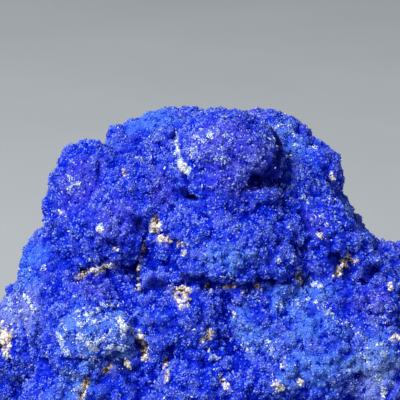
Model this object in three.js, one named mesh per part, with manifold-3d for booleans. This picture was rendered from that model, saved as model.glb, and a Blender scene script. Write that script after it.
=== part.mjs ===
// Azurite specimen: a knobbly mass of velvety blue azurite nodules that grew into one another as
// a single rock, cut off flat underneath so that it rests. Millimetres, +Z up, front towards -Y.
// The origin is under the middle of the specimen, on its resting face.
import * as THREE from "three";
import { mergeVertices } from "three/addons/utils/BufferGeometryUtils.js";
import Module from "manifold-3d";

const wasm = await Module();
wasm.setup();

// Driving dimensions of the finished specimen, over its outermost nodules.
const WIDTH = 62;
const DEPTH = 45;
const HEIGHT = 43;

const FACET = 3; // edge length aimed for on the facets of a nodule or of the heart
const KNOBBLE = 0.07; // how far a nodule departs from a true ellipsoid, as a share of its radius
const AZURITE_BLUE = 0x2338c0;
const ROUGHNESS = 0.85;

// The heart of the rock, from its broad foot to its crown: centre, then radii along X, Y and Z.
const HEART = [
  [[0, 1, 8], [27.5, 18.5, 15]],
  [[-2, 1, 20.5], [19, 14.5, 14]],
  [[-3.5, 0, 31.5], [12.5, 8.5, 8]],
];

// The upper tier: the crown, its two shoulders and the broad bulges under them.
const UPPER = [
  [[-1.4, -6.5, 38.6], [6.3, 5.2, 4.9]], // the round knob that crowns it
  [[-5.6, -2.4, 36.6], [5.2, 5.2, 5.2]],
  [[-8, 2.8, 35], [7.6, 5.6, 6.6]], // the hump behind the knob's left
  [[3.8, 3.4, 36.4], [5.5, 5, 5.3]], // the hump behind its right
  [[-17.7, -3.6, 34.9], [4.3, 4.7, 4.3]], // the left shoulder
  [[-11, -4.6, 32], [6.6, 6.4, 6]],
  [[-15, -5.8, 29.6], [6.2, 6.4, 6]],
  [[9.2, 0.2, 34.7], [3.3, 3.4, 3.4]], // the right shoulder
  [[5.2, -3, 31.8], [6, 6, 5.6]],
  [[9.2, -5.4, 28.2], [6.1, 6.4, 6]],
  [[10.8, 1, 26.2], [4.9, 6, 5.8]],
  [[-1.4, -8.2, 29.2], [9.2, 7.8, 6.2]], // the broad bulge across the middle
];

// The lower tier, which stands further forward and reaches out to both sides.
const LOWER = [
  [[-21.7, 2.5, 17.2], [6, 8.4, 9.8]], // the tall slope on the left
  [[-20, -5.4, 22.6], [5.4, 6.2, 6.4]],
  [[-24.6, -4.6, 14.6], [5.8, 6.2, 6.4]],
  [[-17, -9, 18.6], [7.6, 7.4, 7.2]],
  [[-16.9, -13.4, 20.6], [4.6, 4.9, 4.5]], // the round pale lobe on its front
  [[-6.6, -11, 20.8], [7.4, 7, 6.6]],
  [[2.6, -11, 21.2], [6.6, 6.6, 5.4]],
  [[12.4, -7.4, 21.6], [6.4, 6.6, 5.8]],
  [[8, -11.6, 16.8], [10.6, 8.8, 8.2]], // the great bulge low on the right
  [[17.6, 1.2, 19.4], [6.2, 6.6, 6.4]],
  [[18.6, -5.4, 14.8], [6.6, 7.4, 7.4]],
  [[-4, -13, 12], [8.8, 8.2, 8.4]],
  [[-15.6, -12.4, 11.4], [8.2, 8, 8]],
];

// The back, which closes the rock with broader swellings.
const BACK = [
  [[-15, 4.5, 30], [6.4, 6.6, 6.6]],
  [[-3, 7, 31.5], [7.6, 5.8, 6.2]],
  [[8, 6.5, 28], [6.6, 6, 6]],
  [[-16.5, 9, 21], [7.6, 6.8, 7.6]],
  [[-4, 12.5, 22.5], [8.4, 6.2, 7.2]],
  [[8, 11, 20], [7.4, 6.6, 6.8]],
  [[17.5, 8, 15], [7, 7, 6.8]],
];

// Small nodules that stand out of the broader ones here and there.
const BUDS = [
  [[-18.8, -1.6, 30.8], 3],
  [[-22.2, -9.2, 19.4], 3],
  [[-11.4, -14.4, 17], 3.4],
  [[13.4, -14.6, 13.2], 4.2],
  [[21, -8, 17.8], 3.6],
  [[14.2, -9.2, 24.6], 2.9],
  [[-9.8, 7.2, 35.6], 3],
  [[-18.6, 9, 27.2], 3.4],
  [[2.6, 12.6, 27], 3.4],
  [[14, 11, 22], 3.4],
  [[-11, 15.6, 17.6], 3.8],
  [[23.4, 4.6, 17.4], 3.6],
];

// The foot is ringed with nodules whose undersides curl in towards the resting face.
const FOOT_NODULES = 13;
const FOOT_RING = [22.6, 14.6]; // how far out their centres stand, along X and Y
const FOOT_HEIGHT = [3.5, 9.5]; // least and most height of a centre
const FOOT_RADIUS = [5.6, 8.8]; // least and most radius
const FOOT_SEED = 7;

const { sin, cos, max, round, PI } = Math;

// A repeatable stream of numbers from 0 to 1.
function stream(seed) {
  let state = seed;
  return () => {
    state = (state * 1664525 + 1013904223) % 4294967296;
    return state / 4294967296;
  };
}

// The value a share of the way along a range.
function between([least, most], share) {
  return least + (most - least) * share;
}

// A smooth unevenness from -1 to 1 for a direction from a nodule's centre.
function unevenness(d, phase) {
  const broad = sin(2.6 * d.x + 1.7 * d.z + phase) + sin(2.9 * d.y - 2.1 * d.x + 2 * phase);
  const fine = sin(5.3 * d.z + 3.1 * d.y + 3 * phase) * cos(4.7 * d.x - 1.9 * d.z + phase);
  return (broad + fine) / 3;
}

// The solid inside a closed geometry.
function solidOf(geometry) {
  const bare = geometry.clone().deleteAttribute("normal").deleteAttribute("uv");
  const merged = mergeVertices(bare, 1e-4);
  const vertProperties = new Float32Array(merged.attributes.position.array);
  const triVerts = new Uint32Array(merged.index.array);
  return new wasm.Manifold(new wasm.Mesh({ numProp: 3, vertProperties, triVerts }));
}

// One nodule: a ball stretched to its radii and made gently uneven.
function nodule([centre, radii], index) {
  const detail = max(2, round((1.05 * max(...radii)) / FACET) - 1);
  const ball = new THREE.IcosahedronGeometry(1, detail);
  const points = ball.attributes.position;
  const d = new THREE.Vector3();
  for (let i = 0; i < points.count; i += 1) {
    d.fromBufferAttribute(points, i).normalize();
    const swell = 1 + KNOBBLE * unevenness(d, 1.3 * index);
    d.set(d.x * radii[0], d.y * radii[1], d.z * radii[2]).multiplyScalar(swell);
    points.setXYZ(i, d.x + centre[0], d.y + centre[1], d.z + centre[2]);
  }
  return solidOf(ball);
}

// The ring of nodules round the foot, each a little out of line and size with the next.
function footNodules() {
  const random = stream(FOOT_SEED);
  return Array.from({ length: FOOT_NODULES }, (_, i) => {
    const turn = (2 * PI * (i + 0.4 * random())) / FOOT_NODULES;
    const radius = between(FOOT_RADIUS, random());
    const height = between(FOOT_HEIGHT, random());
    const x = FOOT_RING[0] * cos(turn);
    const y = FOOT_RING[1] * sin(turn);
    return [[x, y, height], [radius, radius, 0.9 * radius]];
  });
}

// Everything under the resting face, as a block to cut away.
function ground() {
  const block = new THREE.BoxGeometry(3 * WIDTH, 3 * DEPTH, HEIGHT);
  return solidOf(block.translate(0, 0, -HEIGHT / 2));
}

// The joined rock, centred over the origin and brought to the driving dimensions.
function rock() {
  const buds = BUDS.map(([centre, radius]) => [centre, [radius, radius, radius]]);
  const all = [...HEART, ...UPPER, ...LOWER, ...BACK, ...buds, ...footNodules()];
  const joined = all.map(nodule).reduce((whole, next) => whole.add(next));
  return joined.subtract(ground());
}

// A solid's surface as a geometry, centred over the origin at the driving dimensions.
function finished(solid) {
  const mesh = solid.getMesh();
  const geometry = new THREE.BufferGeometry();
  geometry.setAttribute("position", new THREE.BufferAttribute(mesh.vertProperties, 3));
  geometry.setIndex(new THREE.BufferAttribute(mesh.triVerts, 1));
  geometry.computeBoundingBox();
  const { min, max: top } = geometry.boundingBox;
  const size = top.clone().sub(min);
  geometry.translate(-(min.x + top.x) / 2, -(min.y + top.y) / 2, 0);
  geometry.scale(WIDTH / size.x, DEPTH / size.y, HEIGHT / size.z);
  geometry.computeVertexNormals();
  return geometry;
}

const material = new THREE.MeshStandardMaterial({
  color: AZURITE_BLUE,
  roughness: ROUGHNESS,
  metalness: 0,
  flatShading: true,
});
const azurite = new THREE.Mesh(finished(rock()), material);
azurite.name = "azurite_mass";

const group = new THREE.Group();
group.add(azurite);

export default group;
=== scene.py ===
import math

import bpy
import numpy as np
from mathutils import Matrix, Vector, noise


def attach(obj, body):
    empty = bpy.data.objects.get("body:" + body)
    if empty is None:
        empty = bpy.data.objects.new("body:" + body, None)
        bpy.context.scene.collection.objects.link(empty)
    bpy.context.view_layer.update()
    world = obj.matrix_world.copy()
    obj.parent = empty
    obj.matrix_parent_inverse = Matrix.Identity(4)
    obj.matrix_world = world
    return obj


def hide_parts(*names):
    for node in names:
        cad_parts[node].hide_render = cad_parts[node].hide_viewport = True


# The azurite specimen: a knobbly rock of azurite nodules, coated all over with a druse of tiny
# crystals, with threads of pale grains on its swellings and cream clay left in its creases.
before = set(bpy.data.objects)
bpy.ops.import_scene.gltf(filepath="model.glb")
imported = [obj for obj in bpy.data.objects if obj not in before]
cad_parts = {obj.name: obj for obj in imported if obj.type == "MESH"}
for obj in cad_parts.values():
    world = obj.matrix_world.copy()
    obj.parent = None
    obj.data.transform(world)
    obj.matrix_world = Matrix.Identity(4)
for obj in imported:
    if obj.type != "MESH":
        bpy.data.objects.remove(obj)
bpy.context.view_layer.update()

MM = 0.001
NODE = "azurite_mass"

# How the rock is viewed.
AIM = Vector((-4.5, -7.2, 33)) * MM
VIEW_DISTANCE = 220 * MM
VIEW_WIDTH = 45.2 * MM
VIEW_ELEVATION = math.radians(15)
SENSOR = 36  # mm, the camera's own unit

# The studio floor, in metres: its radius, the radius of its curve, how high its wall is, and
# how wide the patches of its two shades are.
FLOOR_RADIUS = 1.8
FLOOR_CURVE = 0.6
WALL_HEIGHT = 1.8
FLOOR_PATCH = 40 * MM

# The rock's surface, remeshed finer for each scale of lumps, and how many triangles it ends with.
ROUGH_VOXEL = 0.7 * MM
MIDDLE_VOXEL = 0.4 * MM
FINE_VOXEL = 0.26 * MM
BODY_TRIANGLES = 190000

# How far the whole rock is plumped out, then how wide and how high or deep its unevenness is,
# from the broadest to the finest.
PLUMPING = 0.2 * MM
SWELL_WIDTH = 7 * MM
SWELL_HEIGHT = 0.9 * MM
LUMP_WIDTH = 4.4 * MM
LUMP_DEPTH = 1.4 * MM
CREASE_DEPTH = 2.4 * MM  # where a crease is widest
KNOB_WIDTH = 1.8 * MM
KNOB_DEPTH = 1.15 * MM
CLOT_WIDTH = 0.85 * MM
CLOT_DEPTH = 0.9 * MM
CELL_MIDDLE = 0.3  # the level of a cell pattern that stays where it is

# Hollows, close and broad: how often places are averaged to find them, and how deep they are.
CLOSE_HOLLOWS = (12, 0.16 * MM)
BROAD_HOLLOWS = (110, 0.8 * MM)

# Random patterns over the rock, each with the width of its patches and its seed. A seed shifts
# the noise by that many times PATTERN_SHIFT. OCTAVES holds how fast the noise's finer octaves
# fade, how much finer each is than the last, and how many there are.
BLOTCHES = (7 * MM, 0)
MOTTLES = (2.2 * MM, 1)
SPECKS = (0.6 * MM, 2)
CLAY_TONES = (0.9 * MM, 3)
CREASE_BREAKS = (1.3 * MM, 4)
SKY_PATCHES = (9 * MM, 8)
DRUSE_TONES = (0.35 * MM, 9)
THREADS = (1.7 * MM, 12)
KNOTS = (1.1 * MM, 14)
DRUSE_SIZES = (2.6 * MM, 17)
CALM_PATCHES = (3 * MM, 21)
DULL_PATCHES = (1.8 * MM, 31)
PATTERN_SHIFT = (7.31, 3.77, 5.13)
OCTAVES = (0.8, 2, 3)

# What is scattered over the rock: how many, how wide one is, and the seed of its random draws.
CRYSTALS = 205000
CRYSTAL_WIDTH = 0.245 * MM
CRYSTAL_SEED = 11
DRUSE_PIECES = 5
PALE_GRAINS = 11500
PALE_WIDTH = 0.19 * MM
PALE_SEED = 23
CLODS = 4000
CLOD_WIDTH = 0.24 * MM
CLOD_SEED = 5
LEAN = 1.5  # how far each leans from straight out, at random

# The tones of the crystals painted as glints, which are painted highlights, and the palest tone
# of the others, and how a crystal painted as a glint is stretched. How wide, deep and long a pale
# grain is at least and at most, in its own width, and how far it stands out. How far in or out a
# clod lies, in mm.
PAINTED_GLINT_TONES = (0.76, 1.0)
PALEST_TONE = 0.84
PAINTED_GLINT_STRETCH = (0.7, 0.7, 1.8)
GRAIN_LEAST = (0.4, 0.4, 0.8)
GRAIN_MOST = (0.9, 0.9, 2.4)
GRAIN_RISE = 0.05 * MM
CLOD_SHIFT = 0.06

# The tints of the druse, in the order in which they are laid on: the field that says where,
# the most of the tint that shows, and its colour.
TINTS = [
    ("dusty", 0.75, (0.22, 0.28, 0.66)),
    ("violet", 0.15, (0.3, 0.2, 0.62)),
    ("sky", 0.32, (0.15, 0.42, 0.96)),
    # The dark tint: navy, mostly painted shade.
    ("dark", 0.9, (0.0002, 0.003, 0.14)),
]
# The rock's painted shade, a dark blue in its broad hollows, and the fields that its material
# reads.
HOLLOW_SHADE_BLUE = (0.0003, 0.003, 0.22)
ROCK_FIELDS = ("broad", "clay", "violet", "sky", "dusty", "dark", "below")

# The maps that the finishes are baked through: the edge kept free round each square, as a
# share of the map, and round each side of the body.
MAP_MARGIN = 1 / 1024
MAP_GAP = 0.3 * MM

# Swellings made prouder, and less proud where the rise is below 0: half width, rise, and the
# middle as (across, back, up), all in mm from the middle of the resting face.
SWELLINGS = [
    (7.0, 0.9, (-1.2, -13.4, 39.4)),
    (5.0, 0.8, (-16.8, -20.4, 21.2)),
    (6.5, 0.7, (-1.2, -18.4, 29.3)),
    (4.0, -0.7, (-21.1, -6.0, 35.6)),
    (2.5, -1.3, (-21.7, -2.5, 36.9)),
    (2.6, 0.7, (-21.6, -4.6, 31.6)),
    (5.0, -1.5, (13.8, -4.9, 30.0)),
    (4.5, -1.6, (14.6, 2.0, 29.6)),
    (4.5, -1.6, (13.8, 6.0, 30.6)),
    (4.5, 0.4, (-5.8, -13.1, 40.7)),
    (4.0, 0.45, (-5.6, 4.2, 40.7)),
    (4.6, -1.0, (-11.6, 0.3, 39.8)),
    (3.0, 1.1, (-14.7, -5.6, 37.3)),
    (2.6, 0.4, (-13.4, 2.8, 39.0)),
    (2.4, 0.6, (-14.7, 0.9, 38.0)),
    (4.0, -0.7, (7.1, 1.9, 38.9)),
    (3.0, 0.75, (8.8, 2.4, 37.4)),
    (5.0, -1.0, (-26.7, 4.1, 22.4)),
    (6.0, -1.3, (-27.2, 0.0, 21.8)),
    (2.2, 0.8, (-23.8, -12.5, 22.3)),
    (2.0, 0.7, (-26.6, -8.9, 19.8)),
    (3.0, 1.4, (2.4, -10.0, 36.2)),
    (3.5, 1.2, (-2.6, -12.5, 35.2)),
    (3.0, 0.6, (-5.0, -11.5, 35.6)),
    (3.6, 1.4, (-17.5, -17.7, 17.9)),
    (2.4, 1.5, (1.7, -11.0, 34.8)),
    (2.4, 1.3, (4.3, -8.5, 34.6)),
    (3.6, 1.5, (3.6, -15.0, 26.6)),
    (3.4, 0.9, (0.0, -15.5, 25.6)),
    (3.4, 1.6, (-13.4, -17.6, 20.6)),
    (4.0, 0.6, (-2.0, -8.2, 43.0)),
    (4.5, 1.8, (15.8, -18.0, 17.6)),
    (3.2, 1.2, (15.7, -18.3, 14.8)),
    (4.0, 1.2, (16.9, -12.7, 23.0)),
    (3.0, 1.0, (7.5, -13.0, 25.6)),
    (2.5, 0.6, (14.8, 7.2, 26.4)),
    (2.0, 0.9, (-27.2, 3.0, 19.1)),
    (2.0, -0.8, (-27.7, -3.9, 20.0)),
    (1.8, -0.8, (-21.5, -5.3, 36.3)),
]

# The front's other features, seen straight on. Each is a half width and the places that it runs
# through, (across, up) in mm from the middle of the resting face. They are laid on the rock from
# this far in front of its middle, in metres, at places this close together, in mm.
LAID_FROM = 0.1
LAID_STEP = 0.3

# Swellings with shallower lumps.
SMOOTH_SWELLINGS = [
    (7.5, [(-1.0, 39.6)]),
    (5.5, [(-18.0, 35.2)]),
    (5.0, [(-16.7, 21.6)]),
    (6.0, [(-25.0, 24.0)]),
    (6.5, [(-10.0, 40.0)]),
    (5.0, [(4.5, 39.5)]),
    (5.0, [(8.5, 36.0), (11.0, 33.0)]),
]
# Creases, clefts and the undercut of the knob.
CREASES = [
    (0.4, [(-7.0, 40.6), (-7.6, 39.6), (-7.2, 38.4), (-6.4, 37.0), (-5.6, 36.0)]),
    (0.5, [(-6.8, 34.9), (-6.0, 34.7), (-5.2, 34.8)]),
    (1.35, [(1.9, 36.4), (3.2, 36.2), (4.4, 36.0), (5.3, 36.4)]),
    (0.6, [(5.2, 36.2), (5.6, 37.2)]),
    (0.45, [(-9.8, 31.7), (-10.6, 30.0), (-10.9, 28.5), (-11.3, 27.1), (-12.1, 26.0)]),
    (0.9, [(-12.1, 26.0), (-11.6, 25.4), (-11.3, 24.7)]),
    (0.4, [(-14.3, 26.6), (-12.9, 26.4), (-12.1, 26.0)]),
    (0.4, [(-18.2, 25.8), (-16.8, 26.6), (-15.5, 27.2), (-14.3, 27.3)]),
    (0.5, [(-11.3, 24.9), (-8.7, 25.6), (-7.1, 25.9), (-4.8, 26.2), (-3.5, 25.8)]),
    (0.7, [(-3.5, 25.8), (-1.7, 26.0), (-0.1, 25.3), (1.2, 25.8), (2.8, 26.1), (4.9, 26.2)]),
    (0.45, [(5.6, 30.1), (6.2, 28.7), (6.5, 26.6), (7.0, 25.0)]),
    (0.4, [(-9.3, 30.8), (-7.8, 30.3), (-6.3, 29.9)]),
    (0.4, [(-14.4, 29.5), (-13.3, 29.2), (-12.4, 29.7)]),
    (0.5, [(-17.4, 13.4), (-17.4, 14.8), (-17.0, 15.8), (-16.3, 17.1), (-15.4, 18.5),
           (-13.3, 18.3)]),
    (0.45, [(-12.8, 18.1), (-12.9, 16.5), (-12.0, 15.4)]),
    (0.45, [(-8.9, 16.7), (-8.2, 17.7), (-8.0, 19.3)]),
    (0.7, [(-20.9, 30.8), (-21.2, 29.4)]),
    (0.45, [(-22.2, 22.3), (-22.4, 20.2), (-22.5, 18.4)]),
    (0.4, [(-19.6, 18.5), (-17.6, 18.4), (-15.4, 18.7), (-13.3, 18.9)]),
    (0.5, [(-11.4, 20.4), (-10.8, 19.2), (-11.0, 18.0)]),
    (0.4, [(-15.8, 37.5), (-15.9, 35.7)]),
    (0.5, [(11.4, 23.9), (12.1, 22.4), (11.8, 20.7)]),
    (0.5, [(9.9, 35.6), (10.7, 33.8), (10.8, 32.9)]),
    (0.5, [(6.7, 32.3), (8.6, 30.7), (9.9, 28.7), (11.7, 27.1)]),
    (0.7, [(13.2, 25.2), (14.3, 25.5), (15.0, 26.3)]),
]
# Where clay is left.
CLAY = [
    (0.5, [(-6.2, 37.9)]),
    (0.16, [(-6.8, 38.9), (-7.0, 39.9)]),
    (0.7, [(-9.5, 31.6), (-9.2, 31.0)]),
    (0.6, [(-8.8, 30.3), (-8.2, 30.1)]),
    (0.4, [(-6.6, 29.9), (-6.2, 29.5)]),
    (0.9, [(-7.0, 25.3), (-6.3, 25.2), (-6.3, 24.7)]),
    (0.32, [(-18.2, 25.3), (-16.8, 26.1), (-15.6, 26.7), (-14.3, 26.8)]),
    (0.55, [(-15.8, 26.4), (-15.1, 26.6)]),
    (0.5, [(12.1, 27.7), (11.5, 26.8), (10.6, 25.9)]),
    (0.35, [(6.1, 26.4), (6.4, 25.4)]),
    (0.3, [(8.6, 30.4), (9.5, 30.1)]),
    (0.3, [(-3.9, 25.9), (-3.3, 25.3)]),
    (0.35, [(1.2, 26.2), (1.8, 25.6)]),
    (0.85, [(-26.9, 18.3), (-26.1, 18.0), (-26.9, 17.2)]),
    (0.5, [(-26.4, 16.2)]),
    (0.45, [(-11.1, 20.7), (-10.9, 19.8), (-10.4, 18.9), (-10.4, 18.2)]),
    (0.4, [(16.4, 25.0), (16.6, 24.4)]),
    (0.35, [(17.2, 20.6), (16.6, 20.8)]),
    (0.35, [(-0.8, 23.1)]),
    (0.4, [(12.8, 27.2)]),
    (0.4, [(-4.2, 20.4), (-3.3, 21.0)]),
    (0.35, [(-1.7, 26.1), (-1.1, 25.9)]),
    (0.3, [(0.3, 25.6)]),
    (0.2, [(-10.8, 29.0), (-11.1, 27.4), (-11.5, 26.2), (-11.3, 24.8)]),
    (0.14, [(-14.2, 29.0), (-13.3, 28.7), (-12.6, 29.1)]),
    (0.5, [(4.6, 18.3)]),
    (0.5, [(3.7, 16.4), (4.2, 15.6)]),
    (0.4, [(6.3, 16.3)]),
    (0.4, [(-2.2, 16.4), (-1.6, 15.6)]),
    (0.32, [(-8.4, 17.9), (-8.0, 16.6)]),
    (0.5, [(-17.3, 13.6), (-17.2, 15.0), (-16.8, 15.8)]),
    (0.4, [(-15.2, 16.8), (-14.4, 17.2)]),
    (0.3, [(-12.6, 18.2), (-12.2, 17.4)]),
    (0.25, [(10.5, 35.2), (10.7, 34.4)]),
    (0.2, [(10.7, 33.1)]),
    (0.35, [(-20.0, 32.2)]),
    (0.35, [(-21.9, 29.2)]),
    (0.2, [(-13.0, 36.6), (-13.0, 36.2)]),
]
# Where pale grains lie as frost.
FROST = [
    (4.8, [(-16.7, 21.4)]),
    (4.2, [(-14.2, 21.0)]),
    (1.5, [(-7.4, 39.4), (-6.6, 38.2)]),
    (3.2, [(-3.4, 40.8)]),
    (2.6, [(5.3, 39.0)]),
    (2.6, [(7.4, 37.2)]),
    (3.4, [(14.0, 18.0)]),
    (2.4, [(13.6, 18.5), (13.9, 16.6)]),
    (1.6, [(9.2, 23.6), (11.8, 22.0)]),
    (2.3, [(0.2, 20.9), (3.2, 19.7)]),
    (1.8, [(-18.5, 35.3)]),
    (2.6, [(-23.7, 22.6), (-26.6, 20.0)]),
    (2.2, [(-18.2, 15.4)]),
    (2.4, [(11.2, 16.4)]),
    (1.8, [(5.4, 24.1)]),
    (2.4, [(15.0, 23.0)]),
    (2.0, [(-10.5, 37.6)]),
]
# Where shade is painted on the druse and rock as navy: beside the knob, in clefts and crevices
# and beside lobes, with a few patches of deep navy.
PAINTED_SHADE_AND_NAVY = [
    (1.7, [(1.9, 36.8), (3.0, 37.4), (4.0, 37.8), (4.5, 39.4)]),
    (1.2, [(3.9, 40.8)]),
    (1.0, [(-6.4, 35.2), (-5.2, 35.0)]),
    (1.1, [(-11.5, 26.2), (-11.2, 24.9)]),
    (0.9, [(-6.2, 26.9), (-4.6, 26.7), (-3.0, 26.4)]),
    (0.9, [(-0.8, 26.4), (1.2, 26.2)]),
    (1.2, [(-11.6, 31.8)]),
    (1.5, [(10.4, 27.2), (11.4, 26.2)]),
    (0.9, [(-12.6, 17.4), (-11.6, 17.2)]),
    (1.4, [(13.8, 25.5), (14.6, 26.3)]),
    (1.1, [(-9.9, 25.9), (-8.7, 26.0)]),
    (1.2, [(-16.6, 14.1), (-14.8, 14.0)]),
]
# Where the druse is calmer, with few painted glints.
CALM = [
    (2.2, [(-6.0, 35.8), (-4.2, 35.4)]),
    (3.0, [(9.6, 30.4), (11.0, 28.0)]),
    (2.6, [(-20.2, 29.4), (-19.6, 26.6)]),
    (2.8, [(-10.2, 27.6), (-8.6, 29.0)]),
    (2.4, [(3.6, 27.2), (6.0, 26.8)]),
    (2.2, [(-8.6, 22.8)]),
    (2.4, [(10.8, 22.4)]),
    (4.5, [(-24.2, 26.8)]),
    (4.0, [(-18.2, 35.0)]),
    (4.0, [(-11.0, 40.4)]),
    (3.0, [(8.2, 32.0), (11.4, 31.0)]),
    (3.4, [(6.8, 39.6), (9.2, 37.2)]),
]
# Where the druse is a dusty lavender.
DUSTY = [
    (2.6, [(-24.2, 22.6), (-23.2, 21.8)]),
    (2.2, [(-26.8, 20.6), (-26.0, 20.0)]),
    (3.0, [(13.6, 18.2), (14.2, 15.6)]),
    (1.6, [(16.2, 17.4)]),
]
# Where many crystals are painted as glints.
PAINTED_SPARKLE = [
    (6.8, [(-1.6, 39.6)]),
    (3.2, [(-18.6, 35.6)]),
    (4.8, [(-16.7, 21.2)]),
    (1.8, [(8.0, 31.8)]),
    (4.2, [(-14.0, 21.0)]),
    (3.0, [(14.4, 23.0)]),
    (3.4, [(15.0, 18.6)]),
    (3.6, [(-24.4, 21.4), (-26.4, 19.4)]),
    (3.2, [(-9.6, 39.0)]),
    (4.0, [(13.0, 17.6)]),
    (3.0, [(2.0, 20.0)]),
]
# Threads of pale grains.
PALE_VEINS = [
    (0.3, [(-7.0, 40.6), (-6.9, 39.6), (-6.4, 38.6)]),
    (0.12, [(-3.4, 40.4), (-2.6, 40.1)]),
    (0.15, [(-4.0, 41.5), (-2.8, 41.8)]),
    (0.12, [(0.2, 39.3), (0.7, 38.9)]),
    (0.12, [(-2.0, 38.9), (-1.6, 38.6)]),
    (0.35, [(-19.6, 20.8), (-19.3, 19.8), (-18.7, 19.0)]),
    (0.3, [(-15.9, 20.6), (-14.9, 21.0), (-14.2, 21.7)]),
    (0.4, [(-13.4, 22.8), (-12.8, 22.0), (-12.8, 21.2)]),
    (0.3, [(-17.6, 21.2), (-16.6, 20.6), (-15.8, 20.0)]),
    (0.25, [(-16.8, 23.4), (-15.2, 23.6), (-14.2, 23.4)]),
    (0.3, [(-15.6, 19.6), (-14.6, 19.2), (-13.8, 19.6), (-13.0, 20.0)]),
    (0.3, [(-17.4, 22.4), (-16.6, 22.8), (-15.8, 22.6)]),
    (0.12, [(8.6, 32.5), (9.4, 31.9), (9.6, 31.2)]),
    (0.14, [(7.4, 24.2), (8.7, 23.9), (10.3, 22.5), (11.5, 22.0), (12.6, 21.2)]),
    (0.2, [(14.7, 20.1), (15.5, 19.4)]),
    (0.3, [(13.6, 18.6), (14.5, 17.3), (15.2, 16.0), (15.5, 14.7)]),
    (0.3, [(-24.2, 23.0), (-23.4, 22.8), (-22.8, 22.0)]),
    (0.25, [(-26.4, 20.9), (-26.0, 20.2)]),
    (0.3, [(-21.9, 26.4)]),
    (0.2, [(6.6, 34.3), (7.2, 34.0), (7.6, 33.2)]),
    (0.12, [(5.2, 28.3), (6.0, 28.7)]),
    (0.12, [(3.4, 28.2), (4.2, 28.9)]),
    (0.3, [(2.4, 20.6), (3.2, 20.0), (3.6, 19.2)]),
    (0.25, [(-3.2, 18.6), (-2.4, 18.2)]),
]
# Where pale grains lie thick and white.
THICK = [
    (0.65, [(-6.4, 38.2), (-6.2, 37.9)]),
    (0.22, [(8.1, 25.2), (8.6, 25.2)]),
    (0.25, [(-13.1, 22.6), (-12.7, 21.9)]),
    (0.14, [(-16.4, 20.0), (-15.6, 19.6)]),
    (0.12, [(-14.4, 20.0), (-13.6, 20.5)]),
    (0.2, [(-6.9, 40.2), (-6.8, 39.2)]),
    (0.4, [(-15.5, 31.3)]),
]
# Where the druse is violet.
VIOLET = [
    (6.5, [(-1.0, 39.4)]),
    (4.6, [(-18.1, 35.4)]),
    (3.8, [(-13.9, 32.4)]),
    (2.2, [(8.3, 31.7)]),
    (2.6, [(-9.0, 34.9)]),
    (3.4, [(14.4, 23.3)]),
    (2.4, [(-24.2, 22.0)]),
    (3.0, [(-16.5, 24.6)]),
]
# Where the druse is sky blue.
SKY = [
    (5.0, [(-10.3, 40.6)]),
    (3.4, [(14.1, 29.9), (13.0, 32.0)]),
    (5.6, [(-17.0, 21.2)]),
    (5.2, [(-14.4, 21.2)]),
    (5.2, [(-16.4, 20.0)]),
    (3.6, [(14.8, 19.0)]),
    (1.8, [(6.5, 38.4), (6.8, 37.2)]),
    (3.8, [(-17.6, 14.9)]),
    (3.8, [(5.3, 23.3), (9.6, 21.4)]),
    (3.6, [(5.0, 18.4), (12.0, 18.6)]),
    (2.4, [(-0.4, 29.4), (-3.0, 29.2)]),
    (4.2, [(6.2, 38.4)]),
    (2.4, [(5.4, 39.6), (6.4, 38.2)]),
    (4.6, [(-24.3, 26.0)]),
    (3.0, [(0.6, 21.6), (2.4, 20.6)]),
    (2.4, [(7.2, 25.0), (8.4, 24.6)]),
]


def pick(*pieces):
    """Selects these objects alone, the first one active."""
    bpy.ops.object.select_all(action="DESELECT")
    for piece in pieces:
        piece.select_set(True)
    bpy.context.view_layer.objects.active = pieces[0]


def choose(piece, wanted):
    """Selects, in edit mode, the faces of the active piece that are wanted."""
    bpy.ops.object.mode_set(mode="OBJECT")
    for part in (*piece.data.vertices, *piece.data.edges):
        part.select = False
    for face in piece.data.polygons:
        face.select = bool(wanted(face))
    bpy.ops.object.mode_set(mode="EDIT")
    bpy.ops.mesh.select_mode(type="FACE")


def modify(piece, kind, **settings):
    """Adds a modifier with these settings to a piece and applies it."""
    pick(piece)
    modifier = piece.modifiers.new(kind.title(), kind)
    for name, value in settings.items():
        setattr(modifier, name, value)
    bpy.ops.object.modifier_apply(modifier=modifier.name)


def clouds(name, size, depth):
    """A cloudy texture of this size, with this many finer layers."""
    texture = bpy.data.textures.new(name, "CLOUDS")
    texture.noise_scale = size
    texture.noise_depth = depth
    return texture


def cells(name, size):
    """A texture of cells about this size."""
    texture = bpy.data.textures.new(name, "VORONOI")
    texture.noise_scale = size
    texture.distance_metric = "DISTANCE_SQUARED"
    return texture


# Camera, floor and lights

def set_camera():
    """A camera in front of the rock that looks a little down on it."""
    lens = bpy.data.cameras.new("camera")
    lens.sensor_width = SENSOR
    lens.lens = SENSOR * VIEW_DISTANCE / VIEW_WIDTH
    lens.clip_start = 0.01
    camera = bpy.data.objects.new("camera", lens)
    bpy.context.scene.collection.objects.link(camera)
    back = Vector((0, -math.cos(VIEW_ELEVATION), math.sin(VIEW_ELEVATION)))
    camera.location = AIM + VIEW_DISTANCE * back
    camera.rotation_euler = (math.pi / 2 - VIEW_ELEVATION, 0, 0)
    bpy.context.scene.camera = camera


def area_light(name, place, size, power, colour):
    """A round lamp at this place, in metres, that faces the rock."""
    lamp = bpy.data.lights.new(name, "AREA")
    lamp.shape = "DISK"
    lamp.size = size
    lamp.energy = power
    lamp.color = colour
    light = bpy.data.objects.new(name, lamp)
    bpy.context.scene.collection.objects.link(light)
    light.location = place
    light.rotation_euler = (Vector(place) - AIM).to_track_quat("Z", "Y").to_euler()


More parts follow.
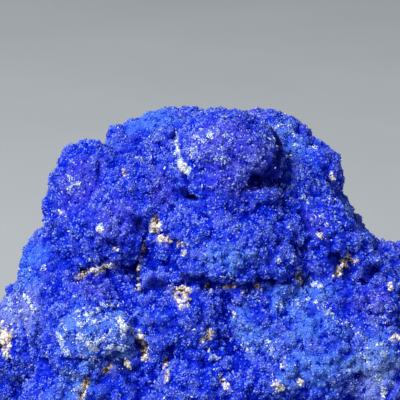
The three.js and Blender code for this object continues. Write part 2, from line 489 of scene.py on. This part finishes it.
def set_lights():
    """A key light from above on the left, a weak fill from the right, and a pale room."""
    area_light("key", (-0.40, -0.46, 0.69), size=0.40, power=10.7, colour=(1, 0.985, 0.96))
    area_light("fill", (0.7, -0.7, 0.40), size=0.6, power=0.9, colour=(0.93, 0.96, 1))
    world = bpy.data.worlds.new("room")
    world.use_nodes = True
    background = world.node_tree.nodes["Background"]
    background.inputs["Color"].default_value = (0.85, 0.9, 1, 1)
    background.inputs["Strength"].default_value = 0.3
    bpy.context.scene.world = world
    bpy.context.scene.view_settings.view_transform = "Standard"


def make_floor():
    """A round pale floor that curves up into a wall all about."""
    bpy.ops.mesh.primitive_cylinder_add(vertices=96, radius=FLOOR_RADIUS, depth=WALL_HEIGHT,
                                        location=(0, 0, WALL_HEIGHT / 2))
    floor = bpy.context.active_object
    floor.name = "floor"
    bpy.ops.object.transform_apply(location=True)
    choose(floor, lambda face: face.normal.z > 0.9)
    bpy.ops.mesh.delete(type="FACE")
    bpy.ops.mesh.select_all(action="SELECT")
    bpy.ops.mesh.flip_normals()
    choose(floor, lambda face: face.normal.z > 0.9)
    bpy.ops.mesh.bevel(offset=FLOOR_CURVE, segments=16, profile=0.5)
    bpy.ops.object.mode_set(mode="OBJECT")
    bpy.ops.object.shade_smooth()
    material, nodes, links = new_material("pale_floor")
    colours = ramp(nodes, [(0.3, (0.452, 0.480, 0.503)), (0.7, (0.473, 0.501, 0.524))])
    links.new(grain(nodes, links, FLOOR_PATCH), colours.inputs["Fac"])
    links.new(colours.outputs["Color"], nodes["Principled BSDF"].inputs["Base Color"])
    nodes["Principled BSDF"].inputs["Roughness"].default_value = 0.9
    floor.data.materials.append(material)


# Measures taken over a mesh

def points_of(mesh):
    """The place of each vertex."""
    values = np.empty(3 * len(mesh.vertices))
    mesh.vertices.foreach_get("co", values)
    return values.reshape(-1, 3)


def normals_of(mesh):
    """The normal of each vertex."""
    values = np.empty(3 * len(mesh.vertices))
    mesh.vertex_normals.foreach_get("vector", values)
    return values.reshape(-1, 3)


def neighbours(mesh):
    """The two vertices of each edge."""
    pairs = np.empty(2 * len(mesh.edges), int)
    mesh.edges.foreach_get("vertices", pairs)
    return pairs.reshape(-1, 2)


def averaged(values, pairs, times):
    """Vectors at each vertex, each time replaced by the mean of its own and its neighbours'."""
    one, other = pairs.T
    count = len(values)
    degree = 1 + np.bincount(one, minlength=count) + np.bincount(other, minlength=count)
    columns = list(values.T)
    for _ in range(times):
        columns = [
            (c + np.bincount(one, c[other], count) + np.bincount(other, c[one], count)) / degree
            for c in columns
        ]
    return np.stack(columns, 1)


def hollowness(mesh, hollows):
    """How far each vertex lies in a hollow of this kind: 1 where as deep, -1 where as proud."""
    times, depth = hollows
    places = points_of(mesh)
    mean = averaged(places, neighbours(mesh), times)
    depths = ((mean - places) * normals_of(mesh)).sum(1)
    return np.clip(depths / depth, -1, 1)


def patches(places, pattern):
    """A smooth random value from about -1 to 1 at each place, in the patches of a pattern."""
    size, seed = pattern
    shift = Vector([seed * along for along in PATTERN_SHIFT])
    return np.array([noise.fractal(Vector(p) / size + shift, *OCTAVES) for p in places])


def ease(values, low, high):
    """0 below low, 1 above high, and an even curve between them."""
    share = np.clip((values - low) / (high - low), 0, 1)
    return share * share * (3 - 2 * share)


def save(mesh, name, values):
    """Keeps a value for each vertex under this name, for materials to read."""
    attribute = mesh.attributes.new(name, "FLOAT", "POINT")
    attribute.data.foreach_set("value", values.astype(np.float32))


# The front's features

def laid_on(rock, features):
    """Each feature's half width with its places found on the rock, close together."""
    laid = []
    for width, line in features:
        ends = line + line[-1:]
        found = []
        for (x, z), (next_x, next_z) in zip(ends, ends[1:]):
            steps = max(1, math.ceil(math.hypot(next_x - x, next_z - z) / LAID_STEP))
            for share in np.arange(steps) / steps:
                across, up = x + share * (next_x - x), z + share * (next_z - z)
                start = Vector((across * MM, -LAID_FROM, up * MM))
                hit, place, _, _ = rock.ray_cast(start, Vector((0, 1, 0)))
                if hit:
                    found.append(place[:])
        if found:
            laid.append((width * MM, np.array(found)))
    return laid


def nearness(places, features):
    """1 on a feature, 0 at its half width and less beyond, whichever feature is nearest."""
    best = np.full(len(places), -np.inf)
    for width, line in features:
        for centre in line:
            away = np.linalg.norm(places - centre, axis=1)
            best = np.maximum(best, 1 - away / width)
    return best


def creased(places, creases):
    """How deep the creases run at each place: 1 along the middle of the widest, broken up."""
    uneven = 0.6 * patches(places, CREASE_BREAKS)
    widest = max(width for width, _ in creases)
    depth = np.zeros(len(places))
    for width, line in creases:
        near = ease(nearness(places, [(1.15 * width, line)]) + uneven, 0, 1.1)
        depth = np.maximum(depth, near * width / widest)
    return depth


# The rock

def new_rock():
    """A copy of the CAD rock's mesh, its loose triangles merged, as an object of its own."""
    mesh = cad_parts[NODE].data.copy()
    mesh.name = "azurite_body"
    mesh.materials.clear()
    rock = bpy.data.objects.new("azurite_body", mesh)
    bpy.context.scene.collection.objects.link(rock)
    pick(rock)
    bpy.ops.object.mode_set(mode="EDIT")
    bpy.ops.mesh.select_all(action="SELECT")
    bpy.ops.mesh.remove_doubles(threshold=0.002 * MM)
    bpy.ops.object.mode_set(mode="OBJECT")
    return rock


def weigh(rock, name, weights):
    """A vertex group of this name with these weights, in place of any of that name."""
    if name in rock.vertex_groups:
        rock.vertex_groups.remove(rock.vertex_groups[name])
    group = rock.vertex_groups.new(name=name)
    for index in np.flatnonzero(weights > 0.01):
        group.add([int(index)], float(weights[index]), "REPLACE")


def displace(rock, texture, strength, weights, middle):
    """Moves the surface by a texture, or by all of this strength, as far as the weights say."""
    weigh(rock, "share", weights)
    modify(rock, "DISPLACE", texture=texture, strength=strength, mid_level=middle,
           vertex_group="share")


def roughness(rock, smooth, less):
    """1 over most of the rock, and less by this share on its smooth swellings."""
    return 1 - less * ease(nearness(points_of(rock.data), smooth), 0, 0.45)


def raise_swellings(rock):
    """Brings each swelling out or in by its rise."""
    for width, rise, middle in SWELLINGS:
        near = nearness(points_of(rock.data), [(width * MM, [np.array(middle) * MM])])
        displace(rock, None, rise * MM, ease(near, 0, 0.6), 0)


def roughen(rock):
    """Gives the rock lumps, creases, knobs and clots, each scale on a finer mesh."""
    modify(rock, "REMESH", mode="VOXEL", voxel_size=ROUGH_VOXEL)
    modify(rock, "SMOOTH", factor=0.5, iterations=2)
    modify(rock, "DISPLACE", strength=PLUMPING, mid_level=0)
    raise_swellings(rock)
    modify(rock, "DISPLACE", texture=clouds("swell", SWELL_WIDTH, 1), strength=SWELL_HEIGHT)
    smooth = laid_on(rock, SMOOTH_SWELLINGS)
    rough = roughness(rock, smooth, 0.85)
    displace(rock, cells("lumps", LUMP_WIDTH), -LUMP_DEPTH, rough, CELL_MIDDLE)
    modify(rock, "REMESH", mode="VOXEL", voxel_size=MIDDLE_VOXEL)
    rough = roughness(rock, smooth, 0.7)
    depth = creased(points_of(rock.data), laid_on(rock, CREASES))
    displace(rock, None, -CREASE_DEPTH, depth, 0)
    displace(rock, cells("knobs", KNOB_WIDTH), -KNOB_DEPTH, rough, CELL_MIDDLE)
    modify(rock, "REMESH", mode="VOXEL", voxel_size=FINE_VOXEL)
    rough = roughness(rock, smooth, 0.4)
    displace(rock, cells("clots", CLOT_WIDTH), -CLOT_DEPTH, rough, CELL_MIDDLE)
    rock.vertex_groups.clear()


def flatten_foot(rock):
    """Brings what hangs below the resting face up to it."""
    places = points_of(rock.data)
    places[:, 2] = np.maximum(places[:, 2], 0)
    rock.data.vertices.foreach_set("co", places.ravel())
    rock.data.update()


def front_fields(rock, close, mottle, fine):
    """Where the front's features lie, with calm and dull patches all over."""
    places = points_of(rock.data)

    def mark(features, unevenness, low, high):
        return ease(nearness(places, laid_on(rock, features)) + unevenness, low, high)

    frost = mark(FROST, 0.35 * mottle, 0, 0.6)
    calm = mark(CALM, 0.5 * mottle, 0, 0.7)
    calm = np.maximum(calm, ease(patches(places, CALM_PATCHES), 0, 0.5) * (1 - frost))
    # Painted shade as the dark field: at the listed places, and along every crease.
    dark = mark(PAINTED_SHADE_AND_NAVY, 0.5 * mottle, 0, 0.8)
    creases = mark(CREASES, 0.6 * mottle + 0.3 * fine, 0.2, 0.8)
    dusty = mark(DUSTY, 0.6 * mottle + 0.4 * fine, 0, 0.7)
    dull = ease(0.8 * patches(places, DULL_PATCHES) - 0.5 * close, -0.05, 0.6)
    return {
        "clay": mark(CLAY, 0.9 * fine, 0.1, 0.5),
        "frost": frost,
        "calm": calm,
        "dark": np.maximum(dark, 0.65 * creases),
        "dusty": np.maximum(dusty, 0.35 * dull * (1 - 0.8 * calm)),
        "violet": mark(VIOLET, 0.3 * mottle, 0, 0.7),
        "sky": mark(SKY, 0.7 * mottle + 0.4 * fine, 0.05, 0.9),
        "painted_sparkle": mark(PAINTED_SPARKLE, 0.4 * mottle, 0, 0.5),
    }


def back_fields(places, broad, mottle, fine):
    """The same kinds of features at random, on the back and the top behind the front."""
    away = 1 - ease(-places[:, 1], -2 * MM, 6 * MM)
    blotch = patches(places, BLOTCHES)
    return {
        "clay": away * ease(broad + 0.5 * blotch + 0.4 * fine, 0.8, 1.15),
        "frost": away * ease(blotch, 0.3, 0.7),
        # Painted shade in the broad hollows of the back.
        "dark": away * ease(broad + 0.5 * mottle, 0.3, 1),
        "violet": away * ease(-blotch + 0.3 * mottle, 0.1, 0.7),
        "sky": away * ease(patches(places, SKY_PATCHES), 0.1, 0.5),
        "painted_sparkle": away * ease(-blotch, 0.2, 0.6),
    }


def survey(rock):
    """What grows where: a value at each of the rock's vertices for each thing."""
    mesh = rock.data
    places, normals = points_of(mesh), normals_of(mesh)
    close, broad = hollowness(mesh, CLOSE_HOLLOWS), hollowness(mesh, BROAD_HOLLOWS)
    mottle, fine = patches(places, MOTTLES), patches(places, SPECKS)
    fields = front_fields(rock, close, mottle, fine)
    for name, values in back_fields(places, broad, mottle, fine).items():
        fields[name] = np.maximum(fields[name], values)
    fields["below"] = ease(-normals[:, 2], 0.5, 0.9) * ease(-places[:, 2], -2 * MM, -0.3 * MM)
    return fields | {"close": close, "broad": broad, "mottle": mottle, "fine": fine}


def thin(rock, most):
    """Takes triangles out of the rock where it is smoothest, down to about this many."""
    modify(rock, "TRIANGULATE")
    modify(rock, "DECIMATE", ratio=min(1, most / len(rock.data.polygons)))
    rock.data.shade_smooth()


# What is scattered over the rock

def modelled():
    """The corners and faces of the active object, which is then removed."""
    model = bpy.context.active_object
    bpy.ops.object.transform_apply(location=True)
    corners = points_of(model.data)
    faces = np.array([list(face.vertices) for face in model.data.polygons])
    bpy.data.objects.remove(model)
    return corners, faces


def new_crystal():
    """One small wedge of a crystal, about 1 across and centred."""
    bpy.ops.mesh.primitive_cone_add(vertices=3, radius1=0.6, depth=0.9)
    return modelled()


def new_grain():
    """One small pale grain with eight faces, about 1 across and centred."""
    bpy.ops.mesh.primitive_cone_add(vertices=4, radius1=0.5, depth=0.5, end_fill_type="NOTHING",
                                    location=(0, 0, 0.25))
    bpy.ops.object.transform_apply(location=True)
    modify(bpy.context.active_object, "MIRROR", use_axis=(False, False, True))
    return modelled()


def new_clod():
    """One small clod of clay, about 1 across and centred."""
    bpy.ops.mesh.primitive_ico_sphere_add(subdivisions=1, radius=0.5)
    modify(bpy.context.active_object, "DISPLACE", texture=clouds("clod", 0.4, 0), strength=0.7)
    return modelled()


def scatter(rng, rock, fields, count, weight):
    """Places over the rock, more where the weight is more, with the values found there."""
    mesh = rock.data
    mesh.calc_loop_triangles()
    triangles = np.empty(3 * len(mesh.loop_triangles), int)
    mesh.loop_triangles.foreach_get("vertices", triangles)
    triangles = triangles.reshape(-1, 3)
    places = points_of(mesh)
    a, b, c = places[triangles].transpose(1, 0, 2)
    area = np.linalg.norm(np.cross(b - a, c - a), axis=1) / 2
    chance = np.cumsum(area * weight[triangles].mean(1))
    at = np.sort(rng.random(count)) * chance[-1]
    under = triangles[np.searchsorted(chance, at).clip(0, len(chance) - 1)]
    shares = rng.dirichlet((1, 1, 1), count)
    found = {name: (field[under] * shares).sum(1) for name, field in fields.items()}
    found["place"] = (places[under] * shares[..., None]).sum(1)
    found["up"] = (normals_of(mesh)[under] * shares[..., None]).sum(1)
    return found


def turned(rng, axes):
    """Frames whose third axis is each given axis leant over by a random amount."""
    axes = axes + LEAN * rng.normal(size=axes.shape)
    axes /= np.linalg.norm(axes, axis=1, keepdims=True)
    side = np.cross(axes, rng.normal(size=axes.shape))
    side /= np.linalg.norm(side, axis=1, keepdims=True)
    return np.stack([side, np.cross(axes, side), axes], 2)


def joined(name, model, places, frames, sizes):
    """One mesh of copies of a small model, each at its place, turned and stretched."""
    corners, faces = model
    copies = np.einsum("nij,nkj->nki", frames, corners[None] * sizes[:, None])
    copies += places[:, None]
    count, each = len(places), len(corners)
    loops = (faces[None] + each * np.arange(count)[:, None, None]).ravel()
    sides = faces.shape[1]
    mesh = bpy.data.meshes.new(name)
    mesh.vertices.add(count * each)
    mesh.vertices.foreach_set("co", copies.ravel())
    mesh.loops.add(len(loops))
    mesh.loops.foreach_set("vertex_index", loops)
    mesh.polygons.add(len(loops) // sides)
    mesh.polygons.foreach_set("loop_start", np.arange(0, len(loops), sides))
    mesh.update(calc_edges=True)
    piece = bpy.data.objects.new(name, mesh)
    bpy.context.scene.collection.objects.link(piece)
    return piece


def set_map(mesh, places):
    """Gives a mesh its bake map, with a place for each corner of each face."""
    layer = mesh.uv_layers.new(name="OFBake", do_init=False)
    layer.uv.foreach_set("vector", places.astype(np.float32).ravel())


def map_copies(mesh, count, faces):
    """A bake map with a square for each copy, its faces on the two halves of it by turns."""
    rows = math.ceil(math.sqrt(count))
    halves = np.array([[(0, 0), (1, 0), (0, 1)], [(1, 1), (0, 1), (1, 0)]])
    corners = halves[np.arange(faces) % 2] * (1 / rows - 2 * MAP_MARGIN) + MAP_MARGIN
    squares = np.stack([np.arange(count) % rows, np.arange(count) // rows], 1) / rows
    set_map(mesh, squares[:, None, None] + corners[None])


def map_body(rock):
    """A bake map that lays each face flat on the side of a box that it mostly faces."""
    mesh = rock.data
    corners = np.empty(3 * len(mesh.polygons), int)
    mesh.polygons.foreach_get("vertices", corners)
    corners = corners.reshape(-1, 3)
    places = points_of(mesh)
    low, size = places.min(0) - MAP_GAP, np.ptp(places, axis=0) + 2 * MAP_GAP
    facing = averaged(normals_of(mesh), neighbours(mesh), 40)[corners].mean(1)
    # Each axis has a row of the map, front and back in the lowest, with its far end's side on
    # the right.
    axis = np.abs(facing).argmax(1)
    far = facing[np.arange(len(axis)), axis] > 0
    across, up = np.array([1, 0, 0])[axis], np.array([2, 2, 1])[axis]
    floor = np.array([size[2], 0, 2 * size[2]])[axis]
    face = np.arange(len(axis))[:, None]
    u = (places - low)[corners[face, [0, 1, 2]], across[:, None]] + (far * size[across])[:, None]
    v = (places - low)[corners[face, [0, 1, 2]], up[:, None]] + floor[:, None]
    set_map(mesh, np.stack([u, v], 2) / max(2 * size[0], 2 * size[2] + size[1]))


def finish_piece(piece, model, material, slot, **values):
    """Keeps a value of each copy on all its corners, and gives the piece its map and material."""
    for name, value in values.items():
        save(piece.data, name, np.repeat(value, len(model[0])))
    corners, faces = model
    map_copies(piece.data, len(piece.data.vertices) // len(corners), len(faces))
    piece.data.materials.append(material)
    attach(piece, "root")


def crystal_sizes(rng, places):
    """How wide, deep and long each crystal is, with patches of larger and smaller ones."""
    patchy = 0.35 * patches(places, DRUSE_SIZES)
    size = CRYSTAL_WIDTH * np.exp(0.25 * rng.normal(size=CRYSTALS) + patchy)
    return size[:, None] * rng.uniform(0.7, 1.3, (CRYSTALS, 3))


def crystal_tones(rng, there):
    """How light each crystal is: 0 is the deepest blue and 1 the palest, with painted shade in
    hollows and creases.
    """
    calm = there["calm"]
    tone = 0.49 - 0.1 * calm - 0.08 * there["painted_sparkle"]
    tone += (0.4 - 0.2 * calm) * rng.normal(size=CRYSTALS)
    tone += 0.1 * there["mottle"] + (0.28 - 0.1 * calm) * there["fine"]
    tone += 0.3 * patches(there["place"], DRUSE_TONES)
    # Less light where the dark field lies: painted shade, with a few deep navy patches.
    tone += 0.1 * there["dusty"] + 0.06 * there["sky"] - 0.3 * there["dark"]
    # Painted shade: darker in close and broad hollows.
    tone -= 0.28 * there["close"] + 0.2 * np.maximum(there["broad"], 0)
    return tone + 0.24 * there["frost"] * rng.random(CRYSTALS)


def crystal_shades(rng, there, tone):
    """How violet, sky blue and dusty each crystal is, less where its tone is dark."""
    shades = np.stack([there["violet"], there["sky"], there["dusty"]])
    shades = np.clip(shades + rng.uniform(-0.3, 0.5, shades.shape), 0, 1)
    return shades * ease(tone, 0.1, 0.6)


def painted_glints(rng, there):
    """Which crystals are painted as glints, bright painted highlights, fewer in hollows and
    painted shade.
    """
    chance = 0.024 * (1 - there["calm"]) + 0.24 * there["painted_sparkle"] * (there["close"] < 0.3)
    return rng.random(CRYSTALS) < chance * (1 - there["dark"])


def make_druse(rock, fields, material):
    """Crystals all over the rock, sparse on its clay and its foot, in a few pieces."""
    rng = np.random.default_rng(CRYSTAL_SEED)
    model = new_crystal()
    weight = np.clip(1 - 1.2 * fields["clay"], 0.02, 1) * (1 - 0.9 * fields["below"])
    there = scatter(rng, rock, fields, CRYSTALS, weight)
    frames = turned(rng, there["up"])
    sizes = crystal_sizes(rng, there["place"])
    tone = crystal_tones(rng, there)
    violet, sky, dusty = crystal_shades(rng, there, tone)
    # Painted glints: some crystals get bright tones and longer shapes, standing in for
    # highlights.
    glint = painted_glints(rng, there)
    painted_highlight_tone = rng.uniform(*PAINTED_GLINT_TONES, CRYSTALS)
    tone = np.where(glint, painted_highlight_tone, np.clip(tone, 0, PALEST_TONE))
    sizes[glint] *= PAINTED_GLINT_STRETCH
    for k, part in enumerate(np.array_split(np.arange(CRYSTALS), DRUSE_PIECES)):
        piece = joined(f"druse_{k + 1}", model, there["place"][part], frames[part], sizes[part])
        finish_piece(piece, model, material, "azurite", tone=tone[part],
                     violet=violet[part], sky=sky[part], dusty=dusty[part],
                     dark=there["dark"][part])


def make_pale_grains(rock, fields, material):
    """Pale grains, strung in threads over the frosted swellings and thick in a few spots."""
    rng = np.random.default_rng(PALE_SEED)
    model = new_grain()
    places = points_of(rock.data)
    thread = ease(-np.abs(patches(places, THREADS)), -0.09, -0.03)
    knot = ease(patches(places, KNOTS), 0.1, 0.4)
    veins = ease(nearness(places, laid_on(rock, PALE_VEINS)) + fields["fine"], 0.2, 0.9)
    weight = (0.02 + 0.55 * fields["frost"]) * (0.006 + thread * knot) + 1.3 * veins ** 2
    thick = ease(nearness(places, laid_on(rock, THICK)) + 0.5 * fields["fine"], 0, 0.4)
    weight = (weight + 4 * thick) * (1 - fields["below"])
    there = scatter(rng, rock, {**fields, "thick": thick}, PALE_GRAINS, weight)
    frames = turned(rng, there["up"])
    size = PALE_WIDTH * np.exp(0.35 * rng.normal(size=PALE_GRAINS))
    sizes = size[:, None] * rng.uniform(GRAIN_LEAST, GRAIN_MOST, (PALE_GRAINS, 3))
    at = there["place"] + GRAIN_RISE * there["up"]
    tone = np.maximum(rng.random(PALE_GRAINS), there["thick"])
    piece = joined("pale_grains", model, at, frames, sizes)
    finish_piece(piece, model, material, "clay", tone=tone)


def make_clay(rock, fields, material):
    """Clods of clay, darker in the hollows as painted shade."""
    rng = np.random.default_rng(CLOD_SEED)
    model = new_clod()
    there = scatter(rng, rock, fields, CLODS, fields["clay"] ** 2)
    frames = turned(rng, there["up"])
    size = CLOD_WIDTH * np.exp(0.3 * rng.normal(size=CLODS))
    sizes = size[:, None] * rng.uniform(0.6, 1.3, (CLODS, 3))
    at = there["place"] + there["up"] * rng.uniform(-CLOD_SHIFT, CLOD_SHIFT, (CLODS, 1)) * MM
    tone = 0.62 + 0.2 * rng.normal(size=CLODS) + 0.3 * patches(there["place"], CLAY_TONES)
    # Painted shade: clods in close and broad hollows are darker.
    tone -= 0.2 * there["close"] + 0.4 * np.maximum(there["broad"], 0)
    piece = joined("clay_in_creases", model, at, frames, sizes)
    finish_piece(piece, model, material, "clay", tone=np.clip(tone, 0, 1))


# Materials

def new_material(name):
    """A new material with its nodes and links."""
    material = bpy.data.materials.new(name)
    material.use_nodes = True
    return material, material.node_tree.nodes, material.node_tree.links


def ramp(nodes, stops):
    """A colour ramp with these places and colours."""
    node = nodes.new("ShaderNodeValToRGB")
    elements = node.color_ramp.elements
    while len(elements) < len(stops):
        elements.new(0.5)
    for element, (place, colour) in zip(elements, stops):
        element.position = place
        element.color = (*colour, 1)
    return node


def mixed(nodes, links, share, first, second):
    """A node that mixes two colours, each a colour or a socket, by a socket's share."""
    node = nodes.new("ShaderNodeMix")
    node.data_type = "RGBA"
    links.new(share, node.inputs["Factor"])
    a, b = (socket for socket in node.inputs if socket.type == "RGBA")
    for socket, colour in ((a, first), (b, second)):
        if isinstance(colour, tuple):
            socket.default_value = (*colour, 1)
        else:
            links.new(colour, socket)
    return next(socket for socket in node.outputs if socket.type == "RGBA")


def scaled(nodes, links, value, by):
    """A value times this number, kept from 0 to 1."""
    node = nodes.new("ShaderNodeMath")
    node.operation = "MULTIPLY"
    node.use_clamp = True
    links.new(value, node.inputs[0])
    node.inputs[1].default_value = by
    return node.outputs["Value"]


def field(nodes, name):
    """The value that the mesh keeps under this name."""
    node = nodes.new("ShaderNodeAttribute")
    node.attribute_name = name
    return node.outputs["Fac"]


def grain(nodes, links, size, detail=2.0):
    """Noise of this grain size on the piece's own coordinates."""
    place = nodes.new("ShaderNodeTexCoord")
    node = nodes.new("ShaderNodeTexNoise")
    node.inputs["Scale"].default_value = 1 / size
    node.inputs["Detail"].default_value = detail
    links.new(place.outputs["Object"], node.inputs["Vector"])
    return node.outputs["Fac"]


def bumped(nodes, links, height, distance, strength):
    """A normal roughened by this height."""
    node = nodes.new("ShaderNodeBump")
    node.inputs["Strength"].default_value = strength
    node.inputs["Distance"].default_value = distance
    links.new(height, node.inputs["Height"])
    return node.outputs["Normal"]


def tinted(nodes, links, colour):
    """A blue turned dusty, violet and sky blue where the druse is of that tint, and navy, mostly
    as painted shade.
    """
    for name, most, tint in TINTS:
        share = scaled(nodes, links, field(nodes, name), most)
        colour = mixed(nodes, links, share, colour, tint)
    return colour


def druse_material():
    """The crystals: deep to pale blue by their tone, with painted shade and painted glints,
    tinted as the druse is there.
    """
    material, nodes, links = new_material("azurite_crystals")
    shader = nodes["Principled BSDF"]
    colours = ramp(nodes, [
        (0, (0.0003, 0.007, 0.5)),
        (0.25, (0.0008, 0.02, 0.72)),
        (0.5, (0.009, 0.055, 0.82)),
        (0.75, (0.08, 0.17, 0.84)),
        # Tones above 0.84 are the painted glints alone.
        (0.9, (0.3, 0.4, 0.92)),
        (1.0, (0.75, 0.78, 0.95)),
    ])
    links.new(field(nodes, "tone"), colours.inputs["Fac"])
    links.new(tinted(nodes, links, colours.outputs["Color"]), shader.inputs["Base Color"])
    shader.inputs["Roughness"].default_value = 0.4
    shader.inputs["Specular IOR Level"].default_value = 0.03
    return material


def clay_colours(nodes, links, value):
    """Clay from a dark brown to a pale cream, by a value from 0 to 1."""
    colours = ramp(nodes, [
        (0.0, (0.05, 0.03, 0.02)),
        (0.2, (0.26, 0.18, 0.12)),
        (0.42, (0.56, 0.46, 0.37)),
        (0.65, (0.78, 0.73, 0.66)),
        (1.0, (0.9, 0.89, 0.87)),
    ])
    links.new(value, colours.inputs["Fac"])
    return colours.outputs["Color"]


def rock_material():
    """The rock under its druse: speckled blue with painted shade, with clay in its creases and on
    its underside.
    """
    material, nodes, links = new_material("azurite_rock")
    shader = nodes["Principled BSDF"]
    speckle = grain(nodes, links, 0.25 * MM, 3)
    colours = ramp(nodes, [
        (0.3, (0.0004, 0.005, 0.4)),
        (0.5, (0.001, 0.014, 0.6)),
        (0.68, (0.01, 0.045, 0.72)),
    ])
    links.new(speckle, colours.inputs["Fac"])
    # Painted shade: the rock turns dark blue in its broad hollows.
    deep = scaled(nodes, links, field(nodes, "broad"), 0.7)
    blue = tinted(nodes, links, colours.outputs["Color"])
    blue = mixed(nodes, links, deep, blue, HOLLOW_SHADE_BLUE)
    clay = clay_colours(nodes, links, grain(nodes, links, 0.5 * MM, 4))
    colour = mixed(nodes, links, field(nodes, "clay"), blue, clay)
    matrix = scaled(nodes, links, field(nodes, "below"), 0.8)
    colour = mixed(nodes, links, matrix, colour, clay)
    links.new(colour, shader.inputs["Base Color"])
    links.new(bumped(nodes, links, speckle, 0.15 * MM, 0.8), shader.inputs["Normal"])
    shader.inputs["Roughness"].default_value = 0.75
    shader.inputs["Specular IOR Level"].default_value = 0.03
    return material


def pale_material():
    """The pale grains: a light blue to white by their tone."""
    material, nodes, links = new_material("pale_grain")
    shader = nodes["Principled BSDF"]
    colours = ramp(nodes, [
        (0.0, (0.16, 0.3, 0.82)),
        (0.4, (0.4, 0.56, 0.92)),
        (0.75, (0.8, 0.85, 0.95)),
        (1.0, (0.95, 0.96, 0.95)),
    ])
    links.new(field(nodes, "tone"), colours.inputs["Fac"])
    links.new(colours.outputs["Color"], shader.inputs["Base Color"])
    shader.inputs["Roughness"].default_value = 0.6
    return material


def clay_material():
    """Dry clay, finely bumped."""
    material, nodes, links = new_material("dry_clay")
    shader = nodes["Principled BSDF"]
    links.new(clay_colours(nodes, links, field(nodes, "tone")), shader.inputs["Base Color"])
    links.new(bumped(nodes, links, grain(nodes, links, 0.1 * MM), 0.05 * MM, 0.6),
              shader.inputs["Normal"])
    shader.inputs["Roughness"].default_value = 0.95
    shader.inputs["Specular IOR Level"].default_value = 0.1
    return material


set_camera()
set_lights()
make_floor()

rock = new_rock()
roughen(rock)
flatten_foot(rock)
fields = survey(rock)
make_druse(rock, fields, druse_material())
make_pale_grains(rock, fields, pale_material())
make_clay(rock, fields, clay_material())
for name in ROCK_FIELDS:
    save(rock.data, name, fields[name])
thin(rock, BODY_TRIANGLES)
map_body(rock)
rock.data.materials.append(rock_material())
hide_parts(NODE)
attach(rock, "root")
